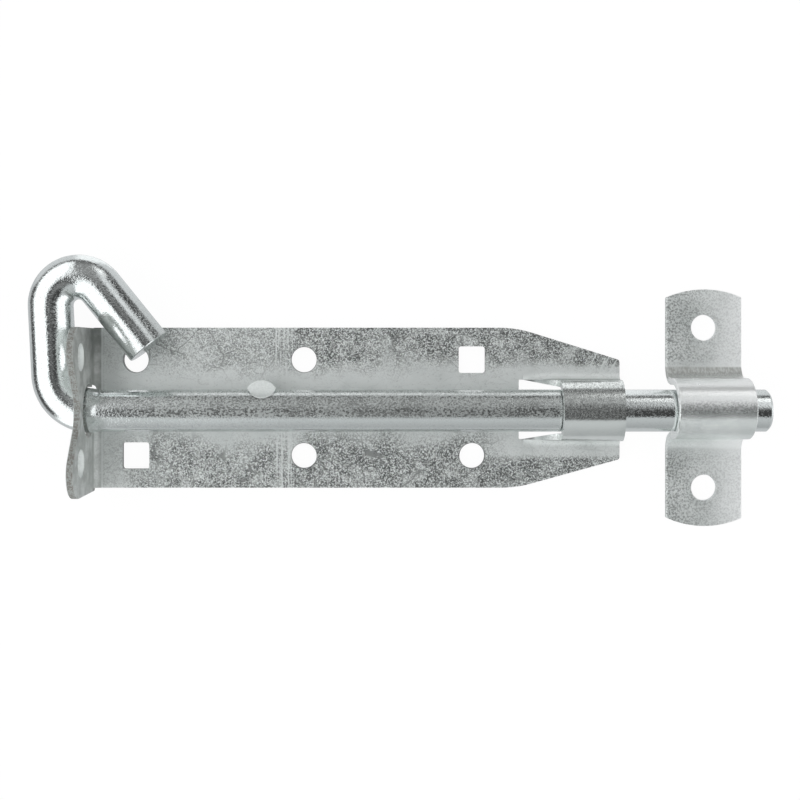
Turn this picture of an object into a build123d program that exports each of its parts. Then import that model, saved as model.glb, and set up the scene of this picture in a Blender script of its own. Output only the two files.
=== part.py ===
from build123d import *
import os
from math import radians, tan

# A zinc-plated padbolt: a sheet backplate with a padlock flange and a pressed guide loop,
# a round bar bent into a hooked handle, and a loose bent keeper for the door frame.
# Origin: back face of the backplate, at the centre of its fixing holes.
# +X runs along the bar to its nose, +Y is the side on which the handle rests, +Z is away from the door.

# Sheet and bar
sheet = 2.5
bar_diameter = 15.5
bar_offset = -0.7
bar_to_plate = 0.3
bar_to_guide = 1.0
bar_to_keeper = 1.0
rim_chamfer = 0.3

# Backplate outline and fixing holes
plate_width = 60.0
hole_pitch = 63.0
hole_row_spacing = 36.0
fixing_hole = 9.5
square_hole = 10.0
square_corner = 1.0
flange_from_hole = 15.8
end_from_hole = 55.3
end_width = 37.2
taper_from_hole = 16.5
shoulder_radius = 42.0
end_corner_radius = 1.2

# Padlock flange, folded up at the handle end and centred on the bar
flange_width = 61.0
fold_radius = 3.0
lobe_radius = 9.0
lobe_slope = 38.0
saddle_height = 24.5
saddle_width = 8.2
saddle_radius = 8.6
padlock_hole = 10.2
padlock_hole_spacing = 38.0
padlock_hole_height = 23.2
flange_hole_clearance = 2.2
fold_cut_width = 17.6
fold_cut_reach = 1.1
fold_cut_corner = 1.8

# Guide loop, pressed up at the nose end, with a window beside it
guide_length = 23.8
guide_lean = 1.7
guide_foot_radius = 2.8
window_length = 14.0
window_width = 22.4
wing_start = 1.5
wing_lift = 0.3

# Bar, with a handle that rises, turns tightly and points back over the plate
nose_past_keeper = 6.9
nose_chamfer = 0.9
handle_width = 16.5
handle_thickness = 15.1
handle_start = 3.7
handle_blend = 3.0
first_bend_radius = 14.0
leg_lean = 2.9
leg_length = 25.1
top_bend_radius = 10.3
hook_angle = 51.0
hook_length = 28.3

# Stop ear, squeezed out of the side of the bar
ear_from_hole = 48.0
ear_length = 10.7
ear_inner = 5.1
ear_outer = 11.4
ear_thickness = 7.2

# Keeper
keeper_past_plate = 17.65
keeper_width = 28.1
keeper_length = 88.7
keeper_corner_span = 82.6
keeper_hole = 9.8
keeper_hole_spacing = 60.0
keeper_foot_radius = 4.8

# Places worked out from the sizes above
bar_radius = bar_diameter / 2
bar_height = sheet + bar_to_plate + bar_radius
guide_inner = bar_radius + bar_to_guide
guide_outer = guide_inner + sheet
guide_foot = guide_outer + guide_foot_radius
guide_top = bar_height + guide_outer
keeper_inner = bar_radius + bar_to_keeper
flange_inner_x = -hole_pitch - flange_from_hole
flange_outer_x = flange_inner_x - sheet
end_x = hole_pitch + end_from_hole
taper_x = hole_pitch + taper_from_hole
guide_x = end_x - guide_length
window_x = guide_x - window_length
wing_x = window_x + wing_start
peak_height = saddle_height + (flange_width - saddle_width) / 2 * tan(radians(lobe_slope))
flange_hole_radius = bar_radius + flange_hole_clearance
keeper_x = end_x + keeper_past_plate + keeper_width / 2
nose_x = keeper_x + keeper_width / 2 + nose_past_keeper
ear_x = ear_from_hole - hole_pitch
ear_middle = (ear_inner + ear_outer) / 2


def across_bar(x):
    """Plane across the bar at x, with its origin on the door below the bar's axis."""
    return Plane(origin=(x, bar_offset, 0), x_dir=(0, 1, 0), z_dir=(1, 0, 0))


def arch(radius):
    """Upright shape with a round top, level with the bar and standing on the door."""
    with BuildSketch() as shape:
        with BuildLine():
            hump = CenterArc((0, bar_height), radius, 0, 180)
            Polyline(hump @ 1, (-radius, 0), (radius, 0), hump @ 0)
        make_face()
    return shape.sketch


def loop_section(foot_span, inner_radius, foot_radius):
    """Section of a sheet loop across the bar: two feet on the door and a round hump between them."""
    with BuildSketch() as section:
        Rectangle(foot_span, sheet, align=(Align.CENTER, Align.MIN))
        add(arch(inner_radius + sheet))
        outer_roots = section.vertices().group_by(Axis.Y)[1].sort_by(Axis.X)[1:-1]
        fillet(outer_roots, foot_radius)
        add(arch(inner_radius), mode=Mode.SUBTRACT)
        inner_roots = section.vertices().group_by(Axis.Y)[0].sort_by(Axis.X)[1:-1]
        fillet(inner_roots, foot_radius + sheet)
    return section.sketch


def wing_section(cut_edge):
    """Section of a wing: a flat strip that curls up to its cut edge at the window."""
    with BuildSketch() as section:
        with BuildLine():
            under = TangentArc((guide_foot, 0), cut_edge[0], tangent=(-1, 0))
            over = TangentArc((guide_foot, sheet), cut_edge[1], tangent=(-1, 0))
            Line(under @ 1, over @ 1)
            Polyline(under @ 0, (guide_foot + sheet, 0), (guide_foot + sheet, sheet), over @ 0)
        make_face()
    return section.sketch


# Wing: sheet beside the window that twists up from the flat plate into the root of the guide loop
root_height = sheet + guide_foot_radius
window_edge = ((window_width / 2, wing_lift), (window_width / 2, wing_lift + sheet))
root_edge = ((guide_inner, root_height), (guide_outer, root_height))
with BuildPart() as wing:
    with BuildSketch(across_bar(wing_x)):
        add(wing_section(window_edge))
    with BuildSketch(across_bar(guide_x)):
        add(wing_section(root_edge))
    loft()
    split(bisect_by=Plane.XZ.offset(-bar_offset - guide_foot), keep=Keep.TOP)


# Backplate: one pressed sheet, folded up at the handle end and looped over the bar at the other
with BuildPart() as backplate:
    with BuildSketch(Plane.XZ) as fold:
        with BuildLine():
            Polyline(
                (end_x, 0),
                (flange_outer_x, 0),
                (flange_outer_x, peak_height),
                (flange_inner_x, peak_height),
                (flange_inner_x, sheet),
                (end_x, sheet),
                close=True,
            )
        make_face()
        fillet(fold.vertices().sort_by_distance((flange_outer_x, 0))[0], fold_radius + sheet)
        fillet(fold.vertices().sort_by_distance((flange_inner_x, sheet))[0], fold_radius)
    extrude(amount=flange_width, both=True)

    with BuildSketch(Plane.XY) as outline:
        with BuildLine():
            Polyline(
                (flange_inner_x, plate_width / 2),
                (taper_x, plate_width / 2),
                (end_x, bar_offset + end_width / 2),
                (end_x, bar_offset - end_width / 2),
                (taper_x, -plate_width / 2),
                (flange_inner_x, -plate_width / 2),
                close=True,
            )
        make_face()
        fillet(outline.vertices().group_by(Axis.X)[1], shoulder_radius)
        fillet(outline.vertices().group_by(Axis.X)[-1], end_corner_radius)
        with Locations((flange_outer_x, bar_offset)):
            Rectangle(sheet, flange_width, align=(Align.MIN, Align.CENTER))
    extrude(amount=peak_height, mode=Mode.INTERSECT)

    with BuildSketch(across_bar(flange_outer_x)) as lobes:
        with BuildLine():
            half_lobes = Polyline(
                (0, 0),
                (flange_width, 0),
                (flange_width, sheet),
                (flange_width / 2, sheet),
                (flange_width / 2, peak_height),
                (saddle_width / 2, saddle_height),
                (0, saddle_height),
            )
            mirror(half_lobes, about=Plane.YZ)
        make_face()
        fillet(lobes.vertices().group_by(Axis.Y)[-2], saddle_radius)
        fillet(lobes.vertices().group_by(Axis.Y)[-1], lobe_radius)
    extrude(amount=end_x - flange_outer_x, mode=Mode.INTERSECT)

    # Window beside the guide loop, then the wings that rise from it into the loop's feet
    with BuildSketch(Plane.XY):
        with Locations((window_x, bar_offset)):
            Rectangle(end_x - window_x, window_width, align=(Align.MIN, Align.CENTER))
        with Locations((wing_x, bar_offset)):
            Rectangle(end_x - wing_x, 2 * guide_foot, align=(Align.MIN, Align.CENTER))
    extrude(amount=sheet, mode=Mode.SUBTRACT)
    with BuildSketch(across_bar(guide_x)):
        add(loop_section(2 * guide_foot + sheet, guide_inner, guide_foot_radius))
    extrude(amount=guide_length)
    add(wing.part)
    add(mirror(wing.part, about=Plane.XZ.offset(-bar_offset), mode=Mode.PRIVATE))
    with BuildSketch(Plane.XZ):
        with BuildLine():
            Polyline((end_x, sheet), (end_x - guide_lean, guide_top), (end_x, guide_top), close=True)
        make_face()
    extrude(amount=plate_width / 2, both=True, mode=Mode.SUBTRACT)

    # Hole for the bar: round in the flange, and open down through the fold
    with BuildSketch(across_bar(flange_outer_x)):
        with Locations((0, bar_height)):
            Circle(flange_hole_radius)
    extrude(amount=sheet + fold_radius, mode=Mode.SUBTRACT)
    with BuildSketch(Plane.XY):
        with Locations((flange_outer_x, 0)):
            cut = Rectangle(sheet + fold_cut_reach, fold_cut_width, align=(Align.MIN, Align.CENTER))
        fillet(cut.vertices().group_by(Axis.X)[-1], fold_cut_corner)
    extrude(amount=sheet + fold_radius, mode=Mode.SUBTRACT)

    # Padlock holes in the lobes
    with BuildSketch(Plane.YZ.offset(flange_outer_x)):
        with Locations((0, padlock_hole_height)):
            with GridLocations(padlock_hole_spacing, 0, 2, 1):
                Circle(padlock_hole / 2)
    extrude(amount=sheet, mode=Mode.SUBTRACT)

    # Fixing holes: two rows of three, with the square ones at opposite corners
    row_y = hole_row_spacing / 2
    with BuildSketch(Plane.XY):
        with Locations((-hole_pitch, row_y), (0, row_y), (0, -row_y), (hole_pitch, -row_y)):
            Circle(fixing_hole / 2)
        with Locations((hole_pitch, row_y), (-hole_pitch, -row_y)):
            RectangleRounded(square_hole, square_hole, square_corner)
    extrude(amount=sheet, mode=Mode.SUBTRACT)

    flange_face = backplate.faces().sort_by(Axis.X)[0]
    chamfer(flange_face.outer_wire().edges().filter_by_position(Axis.Z, bar_height, peak_height), rim_chamfer)
backplate.part.label = "backplate"


# Bar: straight shaft, hooked handle and stop ear, all one piece of round bar
bend_x = flange_outer_x + handle_start
shaft_x = bend_x + handle_blend
bar_origin = (shaft_x, bar_offset, bar_height)
with BuildPart() as bolt:
    with BuildSketch(Plane(origin=bar_origin, x_dir=(0, 1, 0), z_dir=(1, 0, 0))) as shaft_end:
        Circle(bar_radius)
    extrude(amount=nose_x - shaft_x)
    chamfer(bolt.edges().sort_by(Axis.X)[-1], nose_chamfer)

    with BuildLine(Plane.XY.offset(bar_height)) as handle_path:
        bend = JernArc((bend_x, bar_offset), (-1, 0), first_bend_radius, leg_lean - 90)
        leg = PolarLine(bend @ 1, leg_length, direction=bend % 1)
        top = JernArc(leg @ 1, leg % 1, top_bend_radius, -90 - leg_lean - hook_angle)
        PolarLine(top @ 1, hook_length, direction=top % 1)
    with BuildSketch(Plane(origin=(bend_x, bar_offset, bar_height), x_dir=(0, 1, 0), z_dir=(1, 0, 0))) as oval:
        Ellipse(handle_width / 2, handle_thickness / 2)
    loft(sections=(shaft_end.sketch, oval.sketch))
    sweep(sections=oval.sketch, path=handle_path.line)
    hook_end = bolt.faces().filter_by(GeomType.PLANE).sort_by_distance(handle_path.line @ 1)[0]
    chamfer(hook_end.edges(), rim_chamfer)

    # Flats pressed into both sides of the bar, and the lens of metal squeezed out between them
    with BuildSketch(Plane(origin=(ear_x, bar_offset, bar_height))) as ear:
        with BuildLine():
            ear_ends = ((-ear_length / 2, ear_middle), (ear_length / 2, ear_middle))
            ThreePointArc(ear_ends[0], (0, ear_outer), ear_ends[1])
            ThreePointArc(ear_ends[1], (0, ear_inner), ear_ends[0])
        make_face()
    extrude(amount=bar_radius, both=True, mode=Mode.SUBTRACT)
    extrude(ear.sketch, amount=ear_thickness / 2, both=True)
    ear_edges = bolt.edges().filter_by_position(Axis.X, ear_x - ear_length / 2, ear_x + ear_length / 2)
    chamfer(ear_edges.filter_by_position(Axis.Y, bar_offset + ear_middle, bar_offset + ear_outer), rim_chamfer)
bolt.part.label = "bolt"


# Keeper: a strip of the same sheet bent over the bar's nose, with a fixing hole in each foot
with BuildPart() as keeper:
    with BuildSketch(Plane.YZ.offset(keeper_x - keeper_width / 2)):
        add(loop_section(keeper_length, keeper_inner, keeper_foot_radius))
    extrude(amount=keeper_width)
    with BuildSketch(Plane.XY):
        with BuildLine():
            side_x = keeper_width / 2
            corner_y = keeper_corner_span / 2
            right = Line((keeper_x + side_x, -corner_y), (keeper_x + side_x, corner_y))
            ThreePointArc(right @ 1, (keeper_x, keeper_length / 2), (keeper_x - side_x, corner_y))
            left = Line((keeper_x - side_x, corner_y), (keeper_x - side_x, -corner_y))
            ThreePointArc(left @ 1, (keeper_x, -keeper_length / 2), right @ 0)
        make_face()
    extrude(amount=keeper_length, mode=Mode.INTERSECT)
    with BuildSketch(Plane.XY):
        with Locations((keeper_x, 0)):
            with GridLocations(0, keeper_hole_spacing, 1, 2):
                Circle(keeper_hole / 2)
    extrude(amount=sheet, mode=Mode.SUBTRACT)
    chamfer(keeper.faces().filter_by(Axis.X).edges(), rim_chamfer)
keeper.part.label = "keeper"


os.makedirs("parts", exist_ok=True)
export_step(backplate.part, "parts/backplate.step")
export_step(bolt.part, "parts/bolt.step")
export_step(keeper.part, "parts/keeper.step")
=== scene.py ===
import bpy
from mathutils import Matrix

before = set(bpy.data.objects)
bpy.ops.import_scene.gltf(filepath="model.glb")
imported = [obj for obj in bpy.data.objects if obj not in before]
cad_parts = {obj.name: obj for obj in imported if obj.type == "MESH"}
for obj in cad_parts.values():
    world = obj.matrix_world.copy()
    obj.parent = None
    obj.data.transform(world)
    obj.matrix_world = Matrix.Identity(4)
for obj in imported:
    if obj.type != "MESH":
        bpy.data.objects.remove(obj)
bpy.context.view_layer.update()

# Top of the plate above the door, in metres
PLATE_TOP = 0.0025

# Camera straight above the plate, as in the photograph, with its sensor in millimetres
IMAGE_SIDE = 800
SENSOR = 36.0
PIXELS_PER_METRE = 2667.0
CAMERA_HEIGHT = 0.4525

# Pixels of the photograph: the point below the camera, and the origin of the frame
PRINCIPAL_X = 360.0
PRINCIPAL_Y = 352.0
ORIGIN_X = 304.0
ORIGIN_Y = 407.7


def add_camera():
    """Camera above the plate, shifted so that the object sits where the photograph has it."""
    data = bpy.data.cameras.new("camera")
    camera = bpy.data.objects.new("camera", data)
    bpy.context.scene.collection.objects.link(camera)
    camera.location = (
        (PRINCIPAL_X - ORIGIN_X) / PIXELS_PER_METRE,
        (ORIGIN_Y - PRINCIPAL_Y) / PIXELS_PER_METRE,
        CAMERA_HEIGHT,
    )
    focal_pixels = PIXELS_PER_METRE * (CAMERA_HEIGHT - PLATE_TOP)
    data.sensor_width = SENSOR
    data.lens = focal_pixels / IMAGE_SIDE * SENSOR
    data.shift_x = (IMAGE_SIDE / 2 - PRINCIPAL_X) / IMAGE_SIDE
    data.shift_y = -(IMAGE_SIDE / 2 - PRINCIPAL_Y) / IMAGE_SIDE
    bpy.context.scene.camera = camera


def colour(red, green, blue):
    """Opaque colour, in linear values."""
    return (red, green, blue, 1.0)


def grey(level):
    """Neutral colour of one level."""
    return colour(level, level, level)


# How much finer the wander of a cell edge is than its cells, and its detail
WANDER_FINENESS = 3.0
WANDER_DETAIL = 3.0

# Smooth steps end at one, or start there
RISING = (0.0, 1.0)
FALLING = (1.0, 0.0)


class Nodes:
    """Short ways to add and join shader nodes in one tree."""

    def __init__(self, tree):
        self.tree = tree
        tree.nodes.clear()

    def add(self, kind, **inputs):
        """A node of one kind, with values or links for its inputs by name."""
        node = self.tree.nodes.new(kind)
        for name, value in inputs.items():
            self.put(node.inputs[name.replace("_", " ")], value)
        return node

    def put(self, socket, value):
        """Link an input to another node's output, or give it a plain value."""
        if isinstance(value, bpy.types.NodeSocket):
            self.tree.links.new(value, socket)
        else:
            socket.default_value = value

    def math(self, operation, *values):
        """Result of one math node."""
        node = self.tree.nodes.new("ShaderNodeMath")
        node.operation = operation
        for socket, value in zip(node.inputs, values):
            self.put(socket, value)
        return node.outputs[0]

    def times(self, first, *others):
        """Product of two or more numbers."""
        for other in others:
            first = self.math("MULTIPLY", first, other)
        return first

    def linear(self, value, factor, offset):
        """A value times a factor, plus an offset."""
        return self.math("MULTIPLY_ADD", value, factor, offset)

    def larger(self, first, second):
        """The larger of two numbers."""
        return self.math("MAXIMUM", first, second)

    def left(self, share):
        """What a share leaves of the whole."""
        return self.math("SUBTRACT", 1.0, share)

    def size(self, value):
        """A number without its sign."""
        return self.math("ABSOLUTE", value)

    def apart(self, value, middle):
        """How far a value is from a middle value."""
        return self.size(self.math("SUBTRACT", value, middle))

    def reach(self, first, second):
        """Distance that two distances at right angles make."""
        squares = [self.math("POWER", distance, 2.0) for distance in (first, second)]
        return self.math("SQRT", self.math("ADD", *squares))

    def span(self, value, limits, results=RISING):
        """Smooth step between two results, while a value passes between two limits."""
        node = self.tree.nodes.new("ShaderNodeMapRange")
        node.interpolation_type = "SMOOTHSTEP"
        for socket, number in zip(node.inputs, (value, *limits, *results)):
            self.put(socket, number)
        return node.outputs[0]

    def fade(self, value, limits):
        """Smooth step from one down to nothing."""
        return self.span(value, limits, FALLING)

    def between(self, value, rise, fall):
        """One between a rise and a fall, and nothing outside them."""
        return self.times(self.span(value, rise), self.fade(value, fall))

    def mix(self, factor, first, second):
        """Mix of two colours."""
        node = self.tree.nodes.new("ShaderNodeMix")
        node.data_type = "RGBA"
        self.put(node.inputs[0], factor)
        self.put(node.inputs[6], first)
        self.put(node.inputs[7], second)
        return node.outputs[2]

    def noise(self, vector, cells, detail=2.0, roughness=0.5, distortion=0.0):
        """Noise with about so many cells per metre."""
        settings = {"Scale": cells, "Detail": detail, "Roughness": roughness, "Distortion": distortion}
        return self.add("ShaderNodeTexNoise", Vector=vector, **settings).outputs["Fac"]

    def cell_edges(self, vector, cells, wander):
        """Distance to the edges of irregular cells, along edges that wander by a length."""
        settings = {"Scale": cells * WANDER_FINENESS, "Detail": WANDER_DETAIL}
        noise = self.add("ShaderNodeTexNoise", Vector=vector, **settings)
        bent = self.add("ShaderNodeVectorMath")
        bent.operation = "MULTIPLY_ADD"
        for socket, value in zip(bent.inputs, (noise.outputs["Color"], (wander,) * 3, vector)):
            self.put(socket, value)
        voronoi = self.add("ShaderNodeTexVoronoi", Vector=bent.outputs[0], Scale=cells)
        voronoi.feature = "DISTANCE_TO_EDGE"
        return voronoi.outputs["Distance"]

    def moved(self, vector, distance):
        """Coordinates moved by a distance along each axis, for a pattern of its own."""
        node = self.add("ShaderNodeVectorMath")
        self.put(node.inputs[0], vector)
        self.put(node.inputs[1], (distance,) * 3)
        return node.outputs[0]

    def stretched(self, vector, scale):
        """Coordinates scaled by an amount for each axis."""
        node = self.add("ShaderNodeVectorMath")
        node.operation = "MULTIPLY"
        self.put(node.inputs[0], vector)
        self.put(node.inputs[1], scale)
        return node.outputs[0]


class Metal(Nodes):
    """Nodes of one metal, with the place and the direction of each point of the surface."""

    def __init__(self, name):
        self.material = bpy.data.materials.new(name)
        self.material.use_nodes = True
        super().__init__(self.material.node_tree)
        coordinates = self.add("ShaderNodeTexCoord")
        self.where = coordinates.outputs["Object"]
        self.x, self.y, self.z = self.add("ShaderNodeSeparateXYZ", Vector=self.where).outputs
        self.facing = self.add("ShaderNodeSeparateXYZ", Vector=coordinates.outputs["Normal"]).outputs

    def finish(self, base, roughness, metallic, height, bump_depth):
        """Principled metal with a colour, a roughness, a metallic share and a bump."""
        bump = self.add("ShaderNodeBump", Height=height, Distance=bump_depth)
        settings = {"Base_Color": base, "Roughness": roughness, "Metallic": metallic}
        shader = self.add("ShaderNodeBsdfPrincipled", Normal=bump.outputs[0], **settings)
        self.add("ShaderNodeOutputMaterial", Surface=shader.outputs[0])
        return self.material


# Zinc colours, in linear values
ZINC_PALE = colour(0.92, 0.955, 0.94)
ZINC_LIGHT = colour(0.80, 0.84, 0.825)
ZINC_GREY = colour(0.42, 0.445, 0.43)
ZINC_DARK = colour(0.045, 0.048, 0.045)
# Grey-brown of cut edges, which also serves as the painted shade in the flange's fold
ZINC_EDGE_AND_FOLD_SHADE = colour(0.26, 0.25, 0.23)

# Patterns on the plate, in cells per metre
BROAD_CELLS = 45.0
PATCH_CELLS = 170.0
GRAIN_CELLS = 1700.0
FLECK_CELLS = 1250.0
CRAZE_CELLS = 900.0
CRACK_CELLS = 300.0
LONG_CRACK_CELLS = 70.0
CRACK_GAP_CELLS = 60.0
STRIPE_CELLS = 1500.0
STROKE_CELLS = 900.0

# How far those patterns are moved or bent, in metres, and how much they are stretched along each axis
FLECK_SHIFT = 0.13
CRAZE_SHIFT = 0.37
LONG_CRACK_WANDER = 0.003
CRACK_STRETCH = (0.5, 1.0, 1.0)
STRIPE_STRETCH = (1.0, 0.03, 1.0)
FLATTENED = (1.0, 1.0, 0.0)
STROKE_SLANT = -0.45
STROKE_STRETCH = 0.1

# Levels of the patterns between which each mark starts and is full
PATCH_LEVELS = (0.32, 0.58)
SPECK_LEVELS = (0.54, 0.65)
CRAZE_LEVELS = (0.016, 0.050)
CRAZE_GAP_LEVELS = (0.38, 0.50)
CRACK_LEVELS = (0.004, 0.015)
CRACK_GAP_LEVELS = (0.38, 0.52)
LONG_CRACK_LEVELS = (0.007, 0.015)
LONG_CRACK_GAP_LEVELS = (0.46, 0.52)
PALE_LEVELS = (0.50, 0.58)
TONE_LEVELS = (0.25, 0.52)
STRIPE_LEVELS = (0.50, 0.62)
STROKE_LEVELS = (0.60, 0.66)
FLANGE_LEVELS = (0.35, 0.65)
EDGE_LEVELS = (0.42, 0.58)
SPECKLE_LEVELS = (0.49, 0.56)

# Share of a face's direction along the sheet's thickness, below which it counts as a cut edge
CUT_EDGE_FACING = (0.3, 0.6)

# Share of a face's direction towards +Y, below which it counts as lower side
LOOP_LOWER_SIDE = (-0.3, -0.1)
BAR_LOWER_SIDE = (-0.4, -0.2)

# Places on the plate, in metres: each pair is where a change starts and where it ends
MOTTLED_FROM_BAR = (0.009, 0.021)
MOTTLED_EDGE_WANDER = 0.020
NOSE_X = (0.072, 0.098)
NOSE_FROM_BAR = (0.010, 0.018)
LOWER_SIDE_Y = (-0.006, 0.006)
LOWER_SIDE_WIDENING = 0.003
HANDLE_END_X = (-0.074, -0.055)
LOOP_MIDDLE_Y = -0.0015
LOOP_FOOT_Y = (0.0155, 0.0185)
LOOP_FOOT_X = (0.066, 0.078)
CALM_X = (-0.020, 0.0)
CALM_Y = (0.0, 0.005)
RAISED_Z = (PLATE_TOP + 0.001, PLATE_TOP + 0.004)
LOOP_X = (0.06, 0.07)
PRESSED_START_X = (-0.0120, -0.0100)
PRESSED_END_X = (-0.0050, -0.0030)
STROKES_X = (0.098, 0.102)
STROKES_Y = (0.010, 0.014)

# Fixing holes, and the width of the painted shade on their rims, in metres
HOLE_SPACING_X = 0.063
HOLE_Y = 0.018
HOLE_RADIUS = 0.00475
HOLE_RIM_SHADE_WIDTH = 0.0004

# Product of x and y, in square metres, beyond which a fixing hole is a square one without painted shade on
# its rim
SQUARE_HOLE_PRODUCT = (0.0003, 0.0004)

# Flange, its fold with the painted highlight along it, and its padlock holes, in metres
FLANGE_X = (-0.0764, -0.0744)
FLANGE_SHADE_Y = (-0.004, 0.012)
FLANGE_INNER_X = -0.0788
FLANGE_EDGE_X = (FLANGE_INNER_X - 0.0002, FLANGE_INNER_X)
FOLD_START_X = (-0.0795, -0.0788)
FOLD_END_X = (-0.0766, -0.0758)
FOLD_Y = (0.0, 0.010)
FOLD_HIGHLIGHT_X = -0.0757
FOLD_HIGHLIGHT_WIDTH = (0.0001, 0.0004)
PADLOCK_HOLE_Y = 0.019
PADLOCK_HOLE_Z = 0.0232
PADLOCK_HOLE_REACH = (0.0052, 0.0056)
PADLOCK_WALL_X = (-0.0813, -0.0795)

# Shares of the plate's marks, and of its painted light and painted shade, at the two ends of the change
# that each one follows
HANDLE_END_MOTTLING = (0.3, 1.0)
LOOP_FOOT_CALM = (0.85, 0.0)
UPPER_CALM = (0.3, 0.0)
PATCHY_MOTTLING = (0.62, 1.0)
FOLD_HIGHLIGHT_SHARE = (0.8, 0.0)
RIM_SHADE = (0.7, 0.0)
WALL_SHADE = (0.75, 0.0)
LOOP_CLEANING = (-1.0, -0.25)
FLANGE_SHADE = (0.8, 0.85)
FLANGE_PATCHES = (1.15, 0.4)
FOLD_SHADE = (0.15, 0.3)
PADLOCK_WALL_PAINTED_LIGHT = (0.0, 0.6)

# Gain and rest of a mark: how much of it follows a zone, and how much is there without the zone
SPECK_STRENGTH = (0.95, 0.03)
CRACK_STRENGTH = (0.6, 0.2)
LONG_CRACK_STRENGTH = (0.6, 0.08)
PALE_STRENGTH = (0.9, 0.1)
PRESSED_STRENGTH = (0.8, 0.3)
GRAIN_HEIGHT = (0.9, 0.1)
FLANGE_CLEANING = (-0.3, 1.0)

# Single shares of the plate's marks
SPECKS_WITH_MOTTLING = 0.10
SPECK_DARK = 0.9
LOOP_RUBBED = 0.75
STROKE_PALE = 0.8
MOTTLED_GREY = 0.15
LOOP_GREY = 0.2

# Roughness, metallic share and height of the plate, and what each zone adds to them
PLATE_ROUGHNESS_LEVELS = (0.4, 1.0)
PLATE_ROUGHNESS = (0.38, 0.52)
BROAD_IN_ROUGHNESS = 0.5
LOOP_SHINE = (-0.66, 1.0)
SPECKLE_ROUGHNESS = 0.19
FLANGE_ROUGHNESS = 0.2
LOOP_METALLIC = (0.40, 0.55)
HOLE_WALL_METALLIC = -0.3
PATCH_HEIGHT = 0.4
PLATE_BUMP = 0.00015


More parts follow.
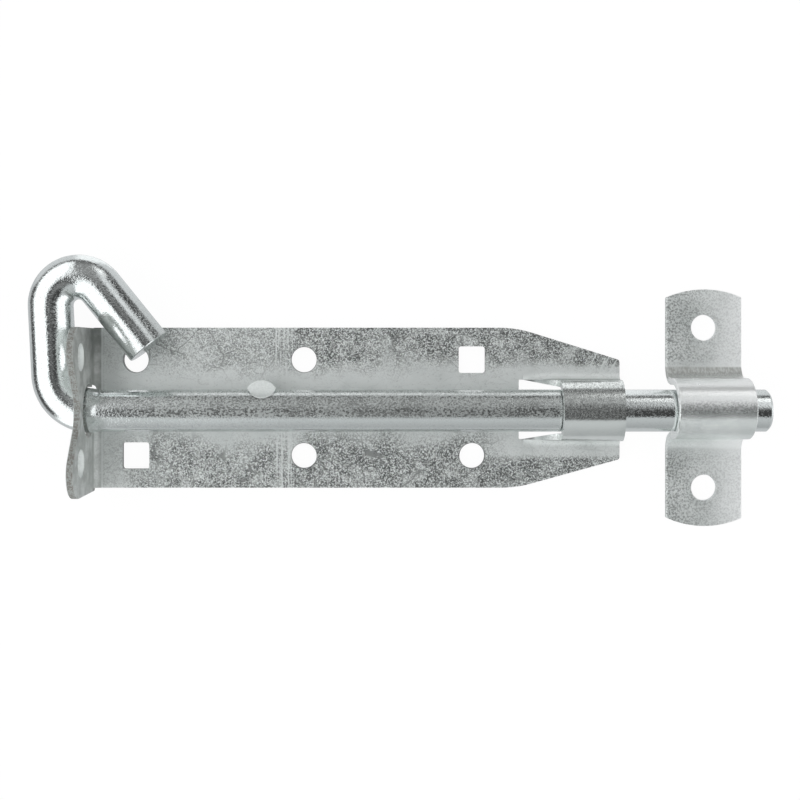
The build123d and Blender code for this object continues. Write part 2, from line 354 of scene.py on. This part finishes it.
class PlateZinc(Metal):
    """Zinc on pressed sheet: smooth beside the bar, crazed elsewhere, speckled on the guide loop."""

    def __init__(self):
        super().__init__("plate_zinc")
        self.find_patterns()
        self.find_zones()
        self.find_mottling()

    def find_patterns(self):
        """Noises that several marks share."""
        flecks_at = self.moved(self.where, FLECK_SHIFT)
        self.broad = self.noise(self.where, BROAD_CELLS, detail=3.0, roughness=0.6)
        self.patches = self.noise(self.where, PATCH_CELLS, detail=4.0, roughness=0.6)
        self.grain = self.noise(self.where, GRAIN_CELLS, roughness=0.6, distortion=0.6)
        self.flecks = self.noise(flecks_at, FLECK_CELLS, roughness=0.6, distortion=0.8)

    def find_zones(self):
        """Raised sheet, guide loop, flange, the painted highlight along its fold, and cut edges on it."""
        self.raised = self.span(self.z, RAISED_Z)
        self.loop = self.times(self.raised, self.span(self.x, LOOP_X))
        self.flange = self.fade(self.x, FLANGE_X)
        # Painted highlight: a thin pale line along the flange's fold
        self.fold_highlight = self.span(self.apart(self.x, FOLD_HIGHLIGHT_X), FOLD_HIGHLIGHT_WIDTH, FOLD_HIGHLIGHT_SHARE)
        cut = self.times(self.fade(self.size(self.facing[0]), CUT_EDGE_FACING), self.raised)
        cut = self.times(cut, self.fade(self.x, FLANGE_EDGE_X))
        from_y = self.math("SUBTRACT", self.size(self.y), PADLOCK_HOLE_Y)
        from_z = self.math("SUBTRACT", self.z, PADLOCK_HOLE_Z)
        from_hole = self.reach(from_y, from_z)
        self.outer_edge = self.times(cut, self.span(from_hole, PADLOCK_HOLE_REACH))
        self.hole_wall = self.times(cut, self.fade(from_hole, PADLOCK_HOLE_REACH))

    def find_mottling(self):
        """How mottled the zinc is: more away from the bar and towards the nose, less beside the loop."""
        wander = self.linear(self.broad, MOTTLED_EDGE_WANDER, -MOTTLED_EDGE_WANDER / 2)
        away = self.math("ADD", self.size(self.y), wander)
        nose = self.times(self.span(self.x, NOSE_X), self.span(away, NOSE_FROM_BAR))
        away = self.math("ADD", away, self.span(self.y, LOWER_SIDE_Y, (LOWER_SIDE_WIDENING, 0.0)))
        mottled = self.larger(self.span(away, MOTTLED_FROM_BAR), nose)
        mottled = self.times(mottled, self.span(self.x, HANDLE_END_X, HANDLE_END_MOTTLING))
        beside_loop = self.span(self.apart(self.y, LOOP_MIDDLE_Y), LOOP_FOOT_Y, LOOP_FOOT_CALM)
        beside_loop = self.times(beside_loop, self.span(self.x, LOOP_FOOT_X))
        self.mottled = self.times(mottled, self.left(beside_loop))
        calm = self.times(self.span(self.x, CALM_X, UPPER_CALM), self.span(self.y, CALM_Y))
        patchy = self.span(self.patches, PATCH_LEVELS, PATCHY_MOTTLING)
        self.amount = self.times(self.mottled, patchy, self.left(calm))

    def specks(self):
        """Dark specks and broken crazing, where the zinc is mottled or the loop is rubbed."""
        specks = self.span(self.linear(self.amount, SPECKS_WITH_MOTTLING, self.grain), SPECK_LEVELS)
        crazing_at = self.moved(self.where, CRAZE_SHIFT)
        crazing = self.noise(crazing_at, CRAZE_CELLS, roughness=0.6, distortion=1.2)
        craze = self.fade(self.apart(crazing, 0.5), CRAZE_LEVELS)
        craze = self.times(craze, self.span(self.flecks, CRAZE_GAP_LEVELS))
        dark = self.larger(self.times(specks, SPECK_DARK), craze)
        rubbed = self.larger(self.amount, self.times(self.loop, LOOP_RUBBED))
        return self.times(dark, self.linear(rubbed, *SPECK_STRENGTH))

    def cracks(self):
        """Short dark cracks."""
        cracks_at = self.stretched(self.where, CRACK_STRETCH)
        cracks = self.noise(cracks_at, CRACK_CELLS, detail=4.0, roughness=0.55, distortion=1.0)
        crack = self.fade(self.apart(cracks, 0.5), CRACK_LEVELS)
        crack = self.times(crack, self.span(self.grain, CRACK_GAP_LEVELS))
        return self.times(crack, self.linear(self.mottled, *CRACK_STRENGTH))

    def long_cracks(self):
        """Long fine cracks along the edges of irregular cells, with gaps."""
        edges = self.cell_edges(self.stretched(self.where, FLATTENED), LONG_CRACK_CELLS, LONG_CRACK_WANDER)
        gaps = self.span(self.noise(self.where, CRACK_GAP_CELLS), LONG_CRACK_GAP_LEVELS)
        crack = self.times(self.fade(edges, LONG_CRACK_LEVELS), gaps)
        return self.times(crack, self.linear(self.mottled, *LONG_CRACK_STRENGTH))

    def tool_marks(self):
        """Pale upright marks of the press tool, and slanted strokes near the nose."""
        stripes = self.noise(self.stretched(self.where, STRIPE_STRETCH), STRIPE_CELLS, detail=1.0)
        pressed = self.between(self.x, PRESSED_START_X, PRESSED_END_X)
        pressed = self.times(pressed, self.linear(self.patches, *PRESSED_STRENGTH))
        across = self.linear(self.y, STROKE_SLANT, self.x)
        along = self.times(self.y, STROKE_STRETCH)
        slanted = self.add("ShaderNodeCombineXYZ", X=across, Y=along).outputs[0]
        strokes = self.span(self.noise(slanted, STROKE_CELLS, detail=1.0), STROKE_LEVELS)
        near_nose = self.times(self.span(self.x, STROKES_X), self.span(self.y, STROKES_Y))
        strokes = self.times(strokes, near_nose, STROKE_PALE)
        return self.larger(self.times(self.span(stripes, STRIPE_LEVELS), pressed), strokes)

    def painted_hole_shade(self):
        """Painted shade on the rims of the round fixing holes, and on the walls of all edges of the flat
        plate.
        """
        along = self.math("PINGPONG", self.size(self.x), HOLE_SPACING_X / 2)
        across = self.math("SUBTRACT", self.size(self.y), HOLE_Y)
        shade_ring = (HOLE_RADIUS, HOLE_RADIUS + HOLE_RIM_SHADE_WIDTH)
        # Painted shade in a ring around each round fixing hole
        rim_shade = self.span(self.reach(along, across), shade_ring, RIM_SHADE)
        rim_shade = self.times(rim_shade, self.fade(self.times(self.x, self.y), SQUARE_HOLE_PRODUCT))
        # Painted shade on the upright walls of the flat plate's edges and holes
        wall_shade = self.span(self.size(self.facing[2]), CUT_EDGE_FACING, WALL_SHADE)
        return self.larger(rim_shade, self.times(wall_shade, self.left(self.raised)))

    def zinc_tone(self, marks):
        """Colour of the zinc itself, without its dark marks, with the painted highlight along the flange's
        fold.
        """
        pale = self.span(self.flecks, PALE_LEVELS)
        pale = self.times(pale, self.linear(self.amount, *PALE_STRENGTH))
        tone = self.mix(self.span(self.broad, TONE_LEVELS), ZINC_LIGHT, ZINC_PALE)
        tone = self.mix(self.times(self.amount, MOTTLED_GREY), tone, ZINC_GREY)
        # The painted highlight along the fold is laid on here
        tone = self.mix(self.larger(pale, self.fold_highlight), tone, ZINC_PALE)
        tone = self.mix(marks, tone, ZINC_PALE)
        return self.mix(self.times(self.loop, LOOP_GREY), tone, ZINC_GREY)

    def dark_share(self, marks):
        """All dark marks together: fainter on the flange and the loop, none on the loop's -Y side, and
        with them the painted shade of the hole rims and plate walls.
        """
        dark = self.larger(self.specks(), self.cracks())
        dark = self.larger(dark, self.long_cracks())
        cleaner = self.span(self.facing[1], LOOP_LOWER_SIDE, LOOP_CLEANING)
        dark = self.times(dark, self.linear(self.loop, cleaner, 1.0))
        dark = self.times(dark, self.linear(self.flange, *FLANGE_CLEANING))
        dark = self.times(dark, self.left(marks))
        return self.larger(dark, self.painted_hole_shade())

    def flange_colour(self, base):
        """Flange darkened with painted shade, painted shade in its fold, a painted highlight along the
        fold, its grey-brown cut edge, and painted light on the walls of its padlock holes.
        """
        # Painted shade over the upright flange, a little deeper towards +Y and uneven in patches
        shade = self.span(self.y, FLANGE_SHADE_Y, FLANGE_SHADE)
        shade = self.times(shade, self.span(self.patches, FLANGE_LEVELS, FLANGE_PATCHES))
        base = self.mix(self.times(self.flange, shade), base, ZINC_GREY)
        # Painted shade in the flange's fold, deeper towards +Y
        fold_shade = self.between(self.x, FOLD_START_X, FOLD_END_X)
        fold_shade = self.times(fold_shade, self.span(self.y, FOLD_Y, FOLD_SHADE))
        base = self.mix(fold_shade, base, ZINC_EDGE_AND_FOLD_SHADE)
        # Painted highlight along the fold, laid on again over the flange's painted shade
        base = self.mix(self.fold_highlight, base, ZINC_PALE)
        edge = self.mix(self.span(self.flecks, EDGE_LEVELS), ZINC_GREY, ZINC_EDGE_AND_FOLD_SHADE)
        base = self.mix(self.outer_edge, base, edge)
        # Painted light on the walls of the padlock holes, stronger towards +X
        wall_light = self.times(self.hole_wall, self.span(self.x, PADLOCK_WALL_X, PADLOCK_WALL_PAINTED_LIGHT))
        return self.mix(wall_light, base, ZINC_LIGHT)

    def roughness(self):
        """Satin plate, a shinier loop with frosted specks, and a duller lower flange."""
        level = self.linear(self.broad, BROAD_IN_ROUGHNESS, self.grain)
        roughness = self.span(level, PLATE_ROUGHNESS_LEVELS, PLATE_ROUGHNESS)
        roughness = self.times(roughness, self.linear(self.loop, *LOOP_SHINE))
        speckled = self.times(self.loop, self.span(self.facing[1], LOOP_LOWER_SIDE))
        speckled = self.times(speckled, self.span(self.grain, SPECKLE_LEVELS))
        roughness = self.linear(speckled, SPECKLE_ROUGHNESS, roughness)
        lower_flange = self.times(self.flange, self.left(self.raised))
        return self.linear(lower_flange, FLANGE_ROUGHNESS, roughness)

    def build(self):
        """The finished material."""
        marks = self.tool_marks()
        base = self.mix(self.dark_share(marks), self.zinc_tone(marks), ZINC_DARK)
        metallic = self.linear(self.loop, *LOOP_METALLIC)
        metallic = self.linear(self.hole_wall, HOLE_WALL_METALLIC, metallic)
        height = self.times(self.grain, self.linear(self.amount, *GRAIN_HEIGHT))
        height = self.linear(self.patches, PATCH_HEIGHT, height)
        return self.finish(self.flange_colour(base), self.roughness(), metallic, height, PLATE_BUMP)


# Colours of the bar, its painted shade along the stretch up to the guide loop, and of the dull lens on its
# stop ear
BAR_BRIGHT = colour(0.78, 0.815, 0.81)
BAR_SHADED = colour(0.64, 0.67, 0.66)
LENS_PALE = colour(0.83, 0.865, 0.85)
LENS_GREY = colour(0.73, 0.765, 0.75)

# Patterns on the bar, in cells per metre, with the grain drawn out along it
BAR_GRAIN_CELLS = 2000.0
BAR_BROAD_CELLS = 70.0
BAR_STRETCH = (0.75, 1.0, 1.0)
FROST_LEVELS = (0.65, 0.75)
PIT_LEVELS = (0.34, 0.40)
LENS_LEVELS = (0.3, 0.7)

# Frosted specks: what other patterns add to their level, and their share on the lower side and elsewhere
BROAD_IN_FROST = 0.3
SHADED_STRETCH_IN_FROST = 0.05
LOWER_SIDE_FROST = (0.35, 1.0)

# Gain along the stretch up to the guide loop and rest, for the roughness of the specks and of the bar
FROST_ROUGHNESS = (0.06, 0.21)
BAR_ROUGHNESS = (0.10, 0.07)

# Roughness of the lens, darkness of pits and outline, and height of the broad pattern
LENS_ROUGHNESS = 0.7
PIT_DARK = 0.35
OUTLINE_DARK = 0.4
BAR_BROAD_HEIGHT = 0.5
BAR_BUMP = 0.00005

# Places on the bar, in metres: its stretch up to the guide loop, greyed with painted shade, and the lens
# with its dark outline
SHADED_START_X = (-0.070, -0.040)
SHADED_END_X = (0.085, 0.105)
EAR_X = -0.0149
EAR_Y = 0.0067
LENS_ARC_RISE = 0.00317
LENS_REACH = (0.0057, 0.0059)
LENS_TOP_Z = (0.0104, 0.0108)
LENS_FACING = (0.3, 0.5)
OUTLINE_REACH = 0.0061
OUTLINE_WIDTH = (0.0001, 0.0003)


class BarZinc(Metal):
    """Zinc on drawn bar: nearly mirror-like, with fine frosted specks and a dull lens on the ear."""

    def __init__(self):
        super().__init__("bar_zinc")
        self.grain = self.noise(self.stretched(self.where, BAR_STRETCH), BAR_GRAIN_CELLS, roughness=0.6)
        self.broad = self.noise(self.where, BAR_BROAD_CELLS, detail=3.0)
        # Stretch of the bar up to the guide loop: greyer with painted shade, and rougher
        self.dimmed_stretch = self.between(self.x, SHADED_START_X, SHADED_END_X)
        self.find_lens()

    def find_lens(self):
        """Lens above a lower arc, on the top of the stop ear, and its outline."""
        from_x = self.math("SUBTRACT", self.x, EAR_X)
        from_y = self.math("SUBTRACT", self.y, EAR_Y + LENS_ARC_RISE)
        reach = self.reach(from_x, from_y)
        top = self.times(self.span(self.z, LENS_TOP_Z), self.span(self.facing[2], LENS_FACING))
        self.lens = self.times(self.fade(reach, LENS_REACH), top)
        self.outline = self.times(self.fade(self.apart(reach, OUTLINE_REACH), OUTLINE_WIDTH), top)

    def colour_of_bar(self, rough_side):
        """Bright zinc with pits, greyer with painted shade along the stretch up to the guide loop except
        on its lower side, and the lens.
        """
        # Painted shade: greyer along that stretch, except on the bar's lower side
        dimmed_stretch = self.times(self.dimmed_stretch, self.span(self.facing[1], BAR_LOWER_SIDE))
        bright = self.mix(dimmed_stretch, BAR_BRIGHT, BAR_SHADED)
        pits = self.times(self.fade(self.grain, PIT_LEVELS), self.times(rough_side, PIT_DARK))
        base = self.mix(pits, bright, ZINC_DARK)
        lens = self.mix(self.span(self.grain, LENS_LEVELS), LENS_PALE, LENS_GREY)
        base = self.mix(self.lens, base, lens)
        return self.mix(self.times(self.outline, OUTLINE_DARK), base, ZINC_DARK)

    def roughness(self, rough_side):
        """Mirror-like zinc with frosted specks, and the dull lens."""
        level = self.linear(self.broad, BROAD_IN_FROST, self.grain)
        level = self.linear(self.dimmed_stretch, SHADED_STRETCH_IN_FROST, level)
        frosted = self.times(self.span(level, FROST_LEVELS), self.linear(self.dimmed_stretch, *FROST_ROUGHNESS))
        frosted = self.times(frosted, rough_side)
        roughness = self.math("ADD", frosted, self.linear(self.dimmed_stretch, *BAR_ROUGHNESS))
        return self.larger(roughness, self.times(self.lens, LENS_ROUGHNESS))

    def build(self):
        """The finished material."""
        rough_side = self.span(self.facing[1], BAR_LOWER_SIDE, LOWER_SIDE_FROST)
        base = self.colour_of_bar(rough_side)
        roughness = self.roughness(rough_side)
        height = self.times(self.grain, self.left(self.lens))
        height = self.linear(self.broad, BAR_BROAD_HEIGHT, height)
        return self.finish(base, roughness, self.left(self.lens), height, BAR_BUMP)


# Colours of the keeper: the band on its foot, the painted highlight on the top of the hump, and the
# painted light on the lit outer ends
BAND_GREY = colour(0.40, 0.405, 0.385)
HUMP_HIGHLIGHT = colour(0.97, 0.985, 0.98)
FOOT_PAINTED_LIGHT = colour(0.95, 0.97, 0.965)

# Patterns on the keeper, in cells per metre
KEEPER_BROAD_CELLS = 80.0
KEEPER_GRAIN_CELLS = 1500.0
KEEPER_STREAK_CELLS = 1600.0
KEEPER_STREAK_STRETCH = (1.0, 0.1, 1.0)
KEEPER_TONE_LEVELS = (0.3, 0.7)
KEEPER_SPECK_LEVELS = (0.40, 0.64)
KEEPER_WORN_LEVELS = (0.42, 0.60)
KEEPER_STREAK_LEVELS = (0.35, 0.65)

# Shares of the keeper's marks, and of the painted highlight on its hump, at the two ends of the change
# that each one follows
FADING_STRENGTH = (1.0, 0.35)
WORN_DARK = (0.0, 0.45)
STREAK_STRENGTH = (0.5, 0.9)
HUMP_HIGHLIGHT_SHARE = (0.0, 0.95)

# Gain and rest for the feet, and for the raised hump
FEET_STRENGTH = (0.55, 0.12)
HUMP_GREY = (-0.05, 0.05)
HUMP_SHINE = (-0.4, 1.0)
HUMP_METALLIC = (0.25, 0.5)

# Roughness and height of the keeper, and what the painted light on the lit feet and the painted highlight
# on the hump's top add to the metallic share
KEEPER_ROUGHNESS_LEVELS = (0.6, 1.4)
KEEPER_ROUGHNESS = (0.34, 0.46)
LIT_METALLIC = -0.35
HUMP_HIGHLIGHT_METALLIC = -0.2
KEEPER_BROAD_HEIGHT = 0.8
KEEPER_BUMP = 0.00005

# Places on the keeper, in metres
HUMP_Z = (PLATE_TOP + 0.001, PLATE_TOP + 0.006)
FEET_Y = (0.0145, 0.0190)
FADING_X = (0.140, 0.166)
FADING_WANDER = 0.012
LIT_X = (0.146, 0.166)
WORN_START_Y = (-0.0030, 0.0000)
WORN_END_Y = (0.0010, 0.0050)
BAND_START_Y = (0.0105, 0.0115)
BAND_END_Y = (0.0148, 0.0158)
HUMP_TOP_Y = (-0.001, 0.003)


class KeeperZinc(Metal):
    """Satin zinc on the bent keeper: specks on the feet, a streaked band, a painted highlight on the hump
    and painted light on the feet's outer ends.
    """

    def __init__(self):
        super().__init__("keeper_zinc")
        self.broad = self.noise(self.where, KEEPER_BROAD_CELLS, detail=3.0)
        self.grain = self.noise(self.where, KEEPER_GRAIN_CELLS, roughness=0.6, distortion=0.5)
        self.raised = self.span(self.z, HUMP_Z)
        self.band = self.between(self.y, BAND_START_Y, BAND_END_Y)
        # Painted highlight on the raised +Y half of the hump
        self.top = self.times(self.raised, self.span(self.y, HUMP_TOP_Y, HUMP_HIGHLIGHT_SHARE))
        # Painted light on the feet's outer ends towards +X, outside the band
        lit = self.times(self.span(self.x, LIT_X), self.left(self.band))
        self.lit = self.times(lit, self.left(self.raised))

    def specks(self):
        """Specks on the feet, fading towards +X and towards the hump, and a worn line over the hump."""
        feet = self.span(self.size(self.y), FEET_Y)
        place = self.linear(self.broad, FADING_WANDER, self.x)
        fading = self.span(place, FADING_X, FADING_STRENGTH)
        strength = self.times(self.linear(feet, *FEET_STRENGTH), fading)
        specks = self.times(self.span(self.grain, KEEPER_SPECK_LEVELS), strength)
        dimmed_stretch = self.between(self.y, WORN_START_Y, WORN_END_Y)
        dimmed_stretch = self.times(dimmed_stretch, self.span(self.grain, KEEPER_WORN_LEVELS, WORN_DARK))
        return self.larger(specks, dimmed_stretch)

    def zinc_tone(self):
        """Colour of the zinc, with the warm streaked band, the painted highlight on the hump's top and the
        painted light on the lit ends of the feet.
        """
        tone = self.mix(self.span(self.broad, KEEPER_TONE_LEVELS), ZINC_LIGHT, ZINC_PALE)
        tone = self.mix(self.linear(self.raised, *HUMP_GREY), tone, ZINC_GREY)
        streaks_at = self.stretched(self.where, KEEPER_STREAK_STRETCH)
        streaks = self.noise(streaks_at, KEEPER_STREAK_CELLS, detail=1.0)
        streaks = self.span(streaks, KEEPER_STREAK_LEVELS, STREAK_STRENGTH)
        tone = self.mix(self.times(self.band, streaks), tone, BAND_GREY)
        # Painted highlight on the hump's top
        tone = self.mix(self.top, tone, HUMP_HIGHLIGHT)
        # Painted light on the lit ends of the feet
        return self.mix(self.lit, tone, FOOT_PAINTED_LIGHT)

    def build(self):
        """The finished material."""
        base = self.mix(self.specks(), self.zinc_tone(), ZINC_DARK)
        height = self.linear(self.broad, KEEPER_BROAD_HEIGHT, self.grain)
        level = self.math("ADD", self.grain, self.broad)
        roughness = self.span(level, KEEPER_ROUGHNESS_LEVELS, KEEPER_ROUGHNESS)
        roughness = self.times(roughness, self.linear(self.raised, *HUMP_SHINE))
        metallic = self.linear(self.raised, *HUMP_METALLIC)
        metallic = self.linear(self.lit, LIT_METALLIC, metallic)
        metallic = self.linear(self.top, HUMP_HIGHLIGHT_METALLIC, metallic)
        return self.finish(base, roughness, metallic, height, KEEPER_BUMP)


def dress(node, metal):
    """Give one CAD node its material."""
    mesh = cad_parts[node].data
    mesh.materials.clear()
    mesh.materials.append(metal.build())


# Light of the studio, in linear values
SOFT_BOX = colour(1.42, 1.43, 1.44)
STRIP_LIGHT = grey(1.4)
GLOW_LIGHT = colour(0.88, 0.89, 0.90)
PANEL_LOW = colour(0.44, 0.45, 0.455)
PANEL_HIGH = colour(0.58, 0.595, 0.60)
POCKET_DARK = grey(0.08)
GROUND = colour(0.60, 0.61, 0.62)
GROUND_UPPER = colour(0.72, 0.73, 0.74)
GROUND_NEAR = colour(1.15, 1.16, 1.17)
HORIZON_SIDE = grey(0.10)
HORIZON_UPPER = grey(0.16)

# Levels of the ceiling's bands, from the -Y side over the top to +Y, and of its middle
CEILING_LEVELS = (0.06, 0.30, 0.19, 0.95)
MIDDLE_LEVELS = (0.26, 0.13)

# Tilt of each zone, in degrees from straight above (0) towards +Y (90) or towards -Y (-90)
CEILING_TILTS = ((0.0, 20.0), (62.0, 76.0), (98.0, 106.0))
PANEL_TILT = (-100.0, -40.0)
PANEL_END_TILT = (-33.5, -32.5)
STRIP_START_TILT = (48.0, 56.0)
STRIP_END_TILT = (68.0, 76.0)
MIDDLE_START_TILT = (-33.0, -23.0)
MIDDLE_END_TILT = (4.0, 16.0)
MIDDLE_SHADE_TILT = (-8.0, 0.0)
POCKET_START_TILT = (2.0, 6.0)
POCKET_END_TILT = (26.0, 32.0)
GLOW_START_TILT = (4.0, 30.0)
GLOW_END_TILT = (50.0, 58.0)
CORNER_TILT = (32.0, 40.0)
BOX_LEAN_TILT = (25.0, 60.0)

# Side of each zone, in degrees towards +X, or towards -X where negative
STRIP_SIDE = (11.0, 14.0)
MIDDLE_SIDE = (5.0, 9.0)
POCKET_SIDE = (6.0, 9.0)
GLOW_SIDE = (13.0, 16.0)
CORNER_SIDE = (28.0, 33.0)
RIGHT_BOX_SIDE = (34.0, 40.0)
RIGHT_BOX_LEAN = -10.0
LEFT_BOX_SIDE = (-17.0, -14.0)
LEFT_HORIZON_SIDE = (-50.0, -40.0)
GROUND_NEAR_SIDE = (10.0, 16.0)

# Height and +Y share of a direction, where the horizon and the ground start
UPPER_SHARE = (0.30, 0.45)
HORIZON_HEIGHT = (0.10, 0.24)
GROUND_HEIGHT = (-0.38, -0.28)
GROUND_UPPER_DROP = -0.26


class Studio(Nodes):
    """World around the object: soft boxes towards +X and -X, a grey panel towards -Y, a dark ceiling."""

    def __init__(self):
        world = bpy.data.worlds.new("studio")
        world.use_nodes = True
        bpy.context.scene.world = world
        super().__init__(world.node_tree)
        direction = self.add("ShaderNodeTexCoord").outputs["Generated"]
        x, self.y, self.z = self.add("ShaderNodeSeparateXYZ", Vector=direction).outputs
        self.side = self.math("DEGREES", self.math("ARCSINE", x))
        self.tilt = self.math("DEGREES", self.math("ARCTAN2", self.y, self.z))

    def ceiling(self):
        """Dark ceiling in bands, with the panel towards -Y and a bright strip towards +X."""
        light = grey(CEILING_LEVELS[0])
        for tilts, level in zip(CEILING_TILTS, CEILING_LEVELS[1:]):
            light = self.mix(self.span(self.tilt, tilts), light, grey(level))
        panel = self.mix(self.span(self.tilt, PANEL_TILT), PANEL_LOW, PANEL_HIGH)
        light = self.mix(self.span(self.tilt, PANEL_END_TILT), panel, light)
        strip = self.between(self.tilt, STRIP_START_TILT, STRIP_END_TILT)
        return self.mix(self.times(self.span(self.side, STRIP_SIDE), strip), light, STRIP_LIGHT)

    def ceiling_patches(self, light):
        """Patches of the ceiling: its middle, a dark pocket, a glow and a dark corner."""
        middle = self.fade(self.size(self.side), MIDDLE_SIDE)
        middle = self.times(middle, self.fade(self.tilt, MIDDLE_END_TILT))
        middle = self.times(middle, self.span(self.tilt, MIDDLE_START_TILT))
        light = self.mix(middle, light, self.span(self.tilt, MIDDLE_SHADE_TILT, MIDDLE_LEVELS))
        pocket = self.times(self.span(self.side, POCKET_SIDE), self.fade(self.tilt, POCKET_END_TILT))
        pocket = self.times(pocket, self.span(self.tilt, POCKET_START_TILT))
        light = self.mix(pocket, light, POCKET_DARK)
        glow = self.times(self.span(self.side, GLOW_SIDE), self.span(self.tilt, GLOW_START_TILT))
        glow = self.times(glow, self.fade(self.tilt, GLOW_END_TILT))
        light = self.mix(glow, light, GLOW_LIGHT)
        corner = self.times(self.span(self.side, CORNER_SIDE), self.span(self.tilt, CORNER_TILT))
        return self.mix(corner, light, POCKET_DARK)

    def boxes(self, light):
        """Soft boxes towards +X and -X, of which the first starts further out towards +Y."""
        lean = self.span(self.tilt, BOX_LEAN_TILT, (0.0, RIGHT_BOX_LEAN))
        edge = self.math("ADD", self.side, lean)
        light = self.mix(self.span(edge, RIGHT_BOX_SIDE), light, SOFT_BOX)
        return self.mix(self.span(self.side, LEFT_BOX_SIDE), SOFT_BOX, light)

    def horizon_and_ground(self, light):
        """Dark horizon towards -X and +Y, and the bright ground below it."""
        upper = self.span(self.y, UPPER_SHARE)
        low = self.larger(self.fade(self.side, LEFT_HORIZON_SIDE), upper)
        low = self.times(low, self.fade(self.z, HORIZON_HEIGHT))
        light = self.mix(low, light, self.mix(upper, HORIZON_SIDE, HORIZON_UPPER))
        ground = self.mix(upper, GROUND, GROUND_UPPER)
        near = self.times(upper, self.fade(self.size(self.side), GROUND_NEAR_SIDE))
        ground = self.mix(near, ground, GROUND_NEAR)
        height = self.linear(upper, GROUND_UPPER_DROP, self.z)
        return self.mix(self.span(height, GROUND_HEIGHT), ground, light)

    def build(self):
        """Light from each direction, and plain white for the camera."""
        light = self.ceiling_patches(self.ceiling())
        light = self.horizon_and_ground(self.boxes(light))
        seen = self.add("ShaderNodeLightPath").outputs["Is Camera Ray"]
        background = self.add("ShaderNodeBackground", Color=self.mix(seen, light, grey(1.0)))
        self.add("ShaderNodeOutputWorld", Surface=background.outputs[0])


# Floor: side and depth below the door face in metres, shade, and the white that the camera sees
FLOOR_SIDE = 6.0
FLOOR_DEPTH = 0.0003
FLOOR_SHADE = grey(0.85)
FLOOR_WHITE = 1.03
FLOOR_WHITE_SHARE = 0.93


def floor_white():
    """White floor material that keeps a faint shadow of the object."""
    material = bpy.data.materials.new("floor_white")
    material.use_nodes = True
    n = Nodes(material.node_tree)
    diffuse = n.add("ShaderNodeBsdfDiffuse", Color=FLOOR_SHADE)
    glow = n.add("ShaderNodeEmission", Color=grey(1.0), Strength=FLOOR_WHITE)
    path = n.add("ShaderNodeLightPath")
    seen = n.larger(path.outputs["Is Camera Ray"], path.outputs["Is Glossy Ray"])
    mix = n.add("ShaderNodeMixShader")
    parts = (n.times(seen, FLOOR_WHITE_SHARE), diffuse.outputs[0], glow.outputs[0])
    for socket, value in zip(mix.inputs, parts):
        n.put(socket, value)
    n.add("ShaderNodeOutputMaterial", Surface=mix.outputs[0])
    return material


def add_floor():
    """Floor just below the door face, which stays out of the metal's reflections."""
    bpy.ops.mesh.primitive_plane_add(size=FLOOR_SIDE, location=(0, 0, -FLOOR_DEPTH))
    floor = bpy.context.object
    floor.name = "floor"
    floor.data.materials.append(floor_white())
    floor.visible_glossy = False


add_camera()
Studio().build()
add_floor()
dress("backplate", PlateZinc())
dress("bolt", BarZinc())
dress("keeper", KeeperZinc())
bpy.context.scene.view_settings.view_transform = "Standard"
